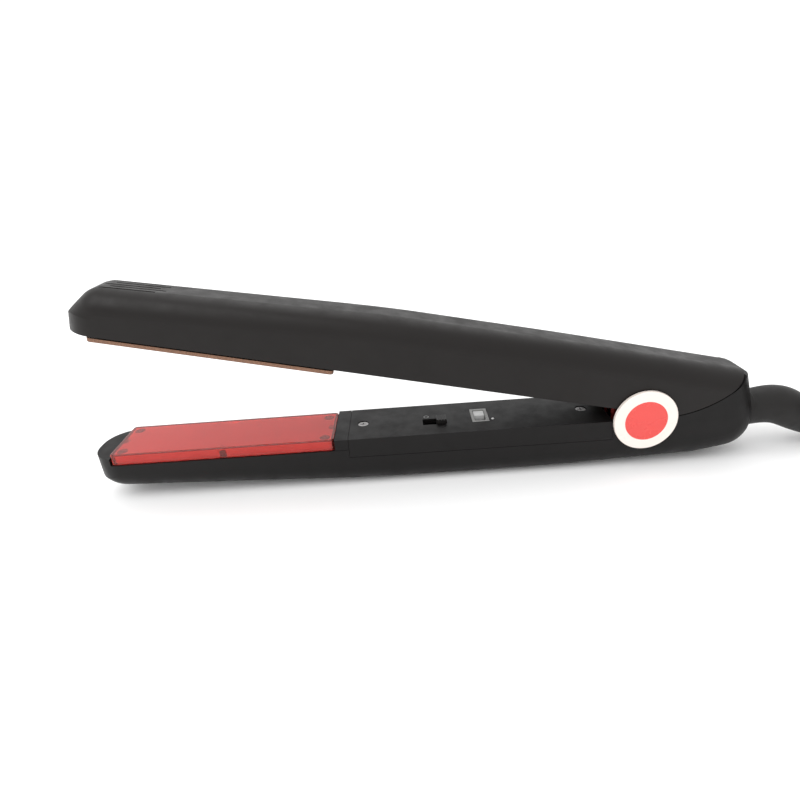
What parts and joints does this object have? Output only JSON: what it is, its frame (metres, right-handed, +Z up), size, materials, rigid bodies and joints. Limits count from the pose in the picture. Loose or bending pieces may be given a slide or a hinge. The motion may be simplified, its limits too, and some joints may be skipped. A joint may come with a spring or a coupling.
{
  "type": "hair flat iron",
  "caption": "Hinged hair flat iron with a bronze hot plate in one arm, a red light window in the other, slide controls, and a mains cord put away in a hank.",
  "frame": {"origin": "under the middle of the iron's length, on the surface that the lower arm's back lies on", "axes": "+X along the arms towards the cord, the tips point to -X; +Y across the arms; +Z up, the way the upper arm opens"},
  "size_m": [0.4423, 0.0643, 0.0866],
  "materials": {
    "casing": "fine matt soft-touch black plastic",
    "heat_plastic": "matt heat proof black plastic",
    "red_window": "clear red plastic, smooth",
    "pale_plate": "matt pale plastic",
    "steel_screws": "zinc plated steel",
    "steel": "bright steel",
    "spring_steel": "drawn spring wire",
    "brass": "turned brass",
    "circuit_board": "green lacquered board",
    "lights": "clear resin lights",
    "board_parts": "moulded component cases",
    "switch_metal": "tinned steel",
    "knob_black": "matt black plastic",
    "light_frame": "matt grey plastic",
    "white_knob": "smooth white plastic",
    "white_cap": "smooth off-white plastic",
    "red_inlay": "smooth red plastic",
    "bronze_plate": "bronze coloured ceramic coating, satin",
    "ceramic": "unglazed ceramic",
    "ceramic_bead": "coated sensor bead",
    "mica": "mica sheet",
    "aluminium_case": "aluminium can",
    "silicone": "grey silicone",
    "wire_sleeve": "soft plastic wire sleeve",
    "glass_sleeve": "woven glass fibre sleeve",
    "cord_rubber": "matt black rubber",
    "cord_jacket": "matt black cord jacket",
    "tie": "black strap",
    "plug_plastic": "matt black moulded plastic",
    "plug_metal": "nickel plated brass"
  },
  "bodies": {
    "lower_arm": {"lower_shell": "casing", "inner_cover": "casing", "window_bridge": "casing", "red_window": "red_window", "spreader_plate": "pale_plate", "window_screws": "steel_screws", "window_spacers": "brass", "emitter_board": "circuit_board", "emitters": "lights", "cover_screws": "steel_screws", "control_board": "circuit_board", "board_screws": "steel_screws", "board_parts": "board_parts", "switch_case": "switch_metal", "selector_rim": "light_frame", "selector_case": "switch_metal", "hinge_pin": "steel", "hinge_spring": "spring_steel", "near_cap": "white_cap", "far_cap": "white_cap", "near_cap_inlay": "red_inlay", "far_cap_inlay": "red_inlay", "supply_wires": "wire_sleeve", "emitter_wires": "wire_sleeve", "hinge_wires": "wire_sleeve", "cord_boot": "cord_rubber", "cord_end": "cord_jacket", "cord_clamp": "casing", "cord_clamp_screws": "steel_screws", "cord_lead": "cord_jacket", "cord_hank": "cord_jacket", "cord_tie": "tie", "cord_tail": "cord_jacket", "plug_body": "plug_plastic", "plug_pins": "plug_metal"},
    "upper_arm": {"hinge_bushes": "brass", "upper_shell": "casing", "upper_cover": "casing", "upper_cover_screws": "steel_screws", "plate_frame": "heat_plastic", "frame_screws": "steel_screws", "plate_cushions": "silicone", "heater_wires": "glass_sleeve"},
    "hot_plate": {"heating_plate": "bronze_plate", "ceramic_heater": "ceramic", "mica_sheet": "mica", "heater_clamp": "steel", "clamp_screws": "steel_screws", "thermistor": "ceramic_bead", "thermal_fuse": "aluminium_case"},
    "power_knob": {"switch_knob": "knob_black"},
    "selector": {"selector_knob": "white_knob"}
  },
  "joints": [
    {"name": "arm_hinge", "type": "hinge", "parent": "lower_arm", "child": "upper_arm", "pos_m": [0.08765, 0, 0.0218], "axis": [0, -1, 0], "range_deg": [0, 12.8], "stiffness_Nm_per_rad": 0.5, "springref_deg": -34.38, "deforming": ["hinge_spring", "hinge_wires"]},
    {"name": "plate_float", "type": "slide", "parent": "upper_arm", "child": "hot_plate", "axis": [0.2215, 0, 0.9751], "range_m": [0, 0.0006], "stiffness_N_per_m": 4000, "deforming": ["plate_cushions", "heater_wires"]},
    {"name": "power_switch", "type": "slide", "parent": "lower_arm", "child": "power_knob", "axis": [-1, 0, 0], "range_m": [0, 0.0053]},
    {"name": "selector_switch", "type": "slide", "parent": "lower_arm", "child": "selector", "axis": [0, -1, 0], "range_m": [0, 0.00455]}
  ]
}
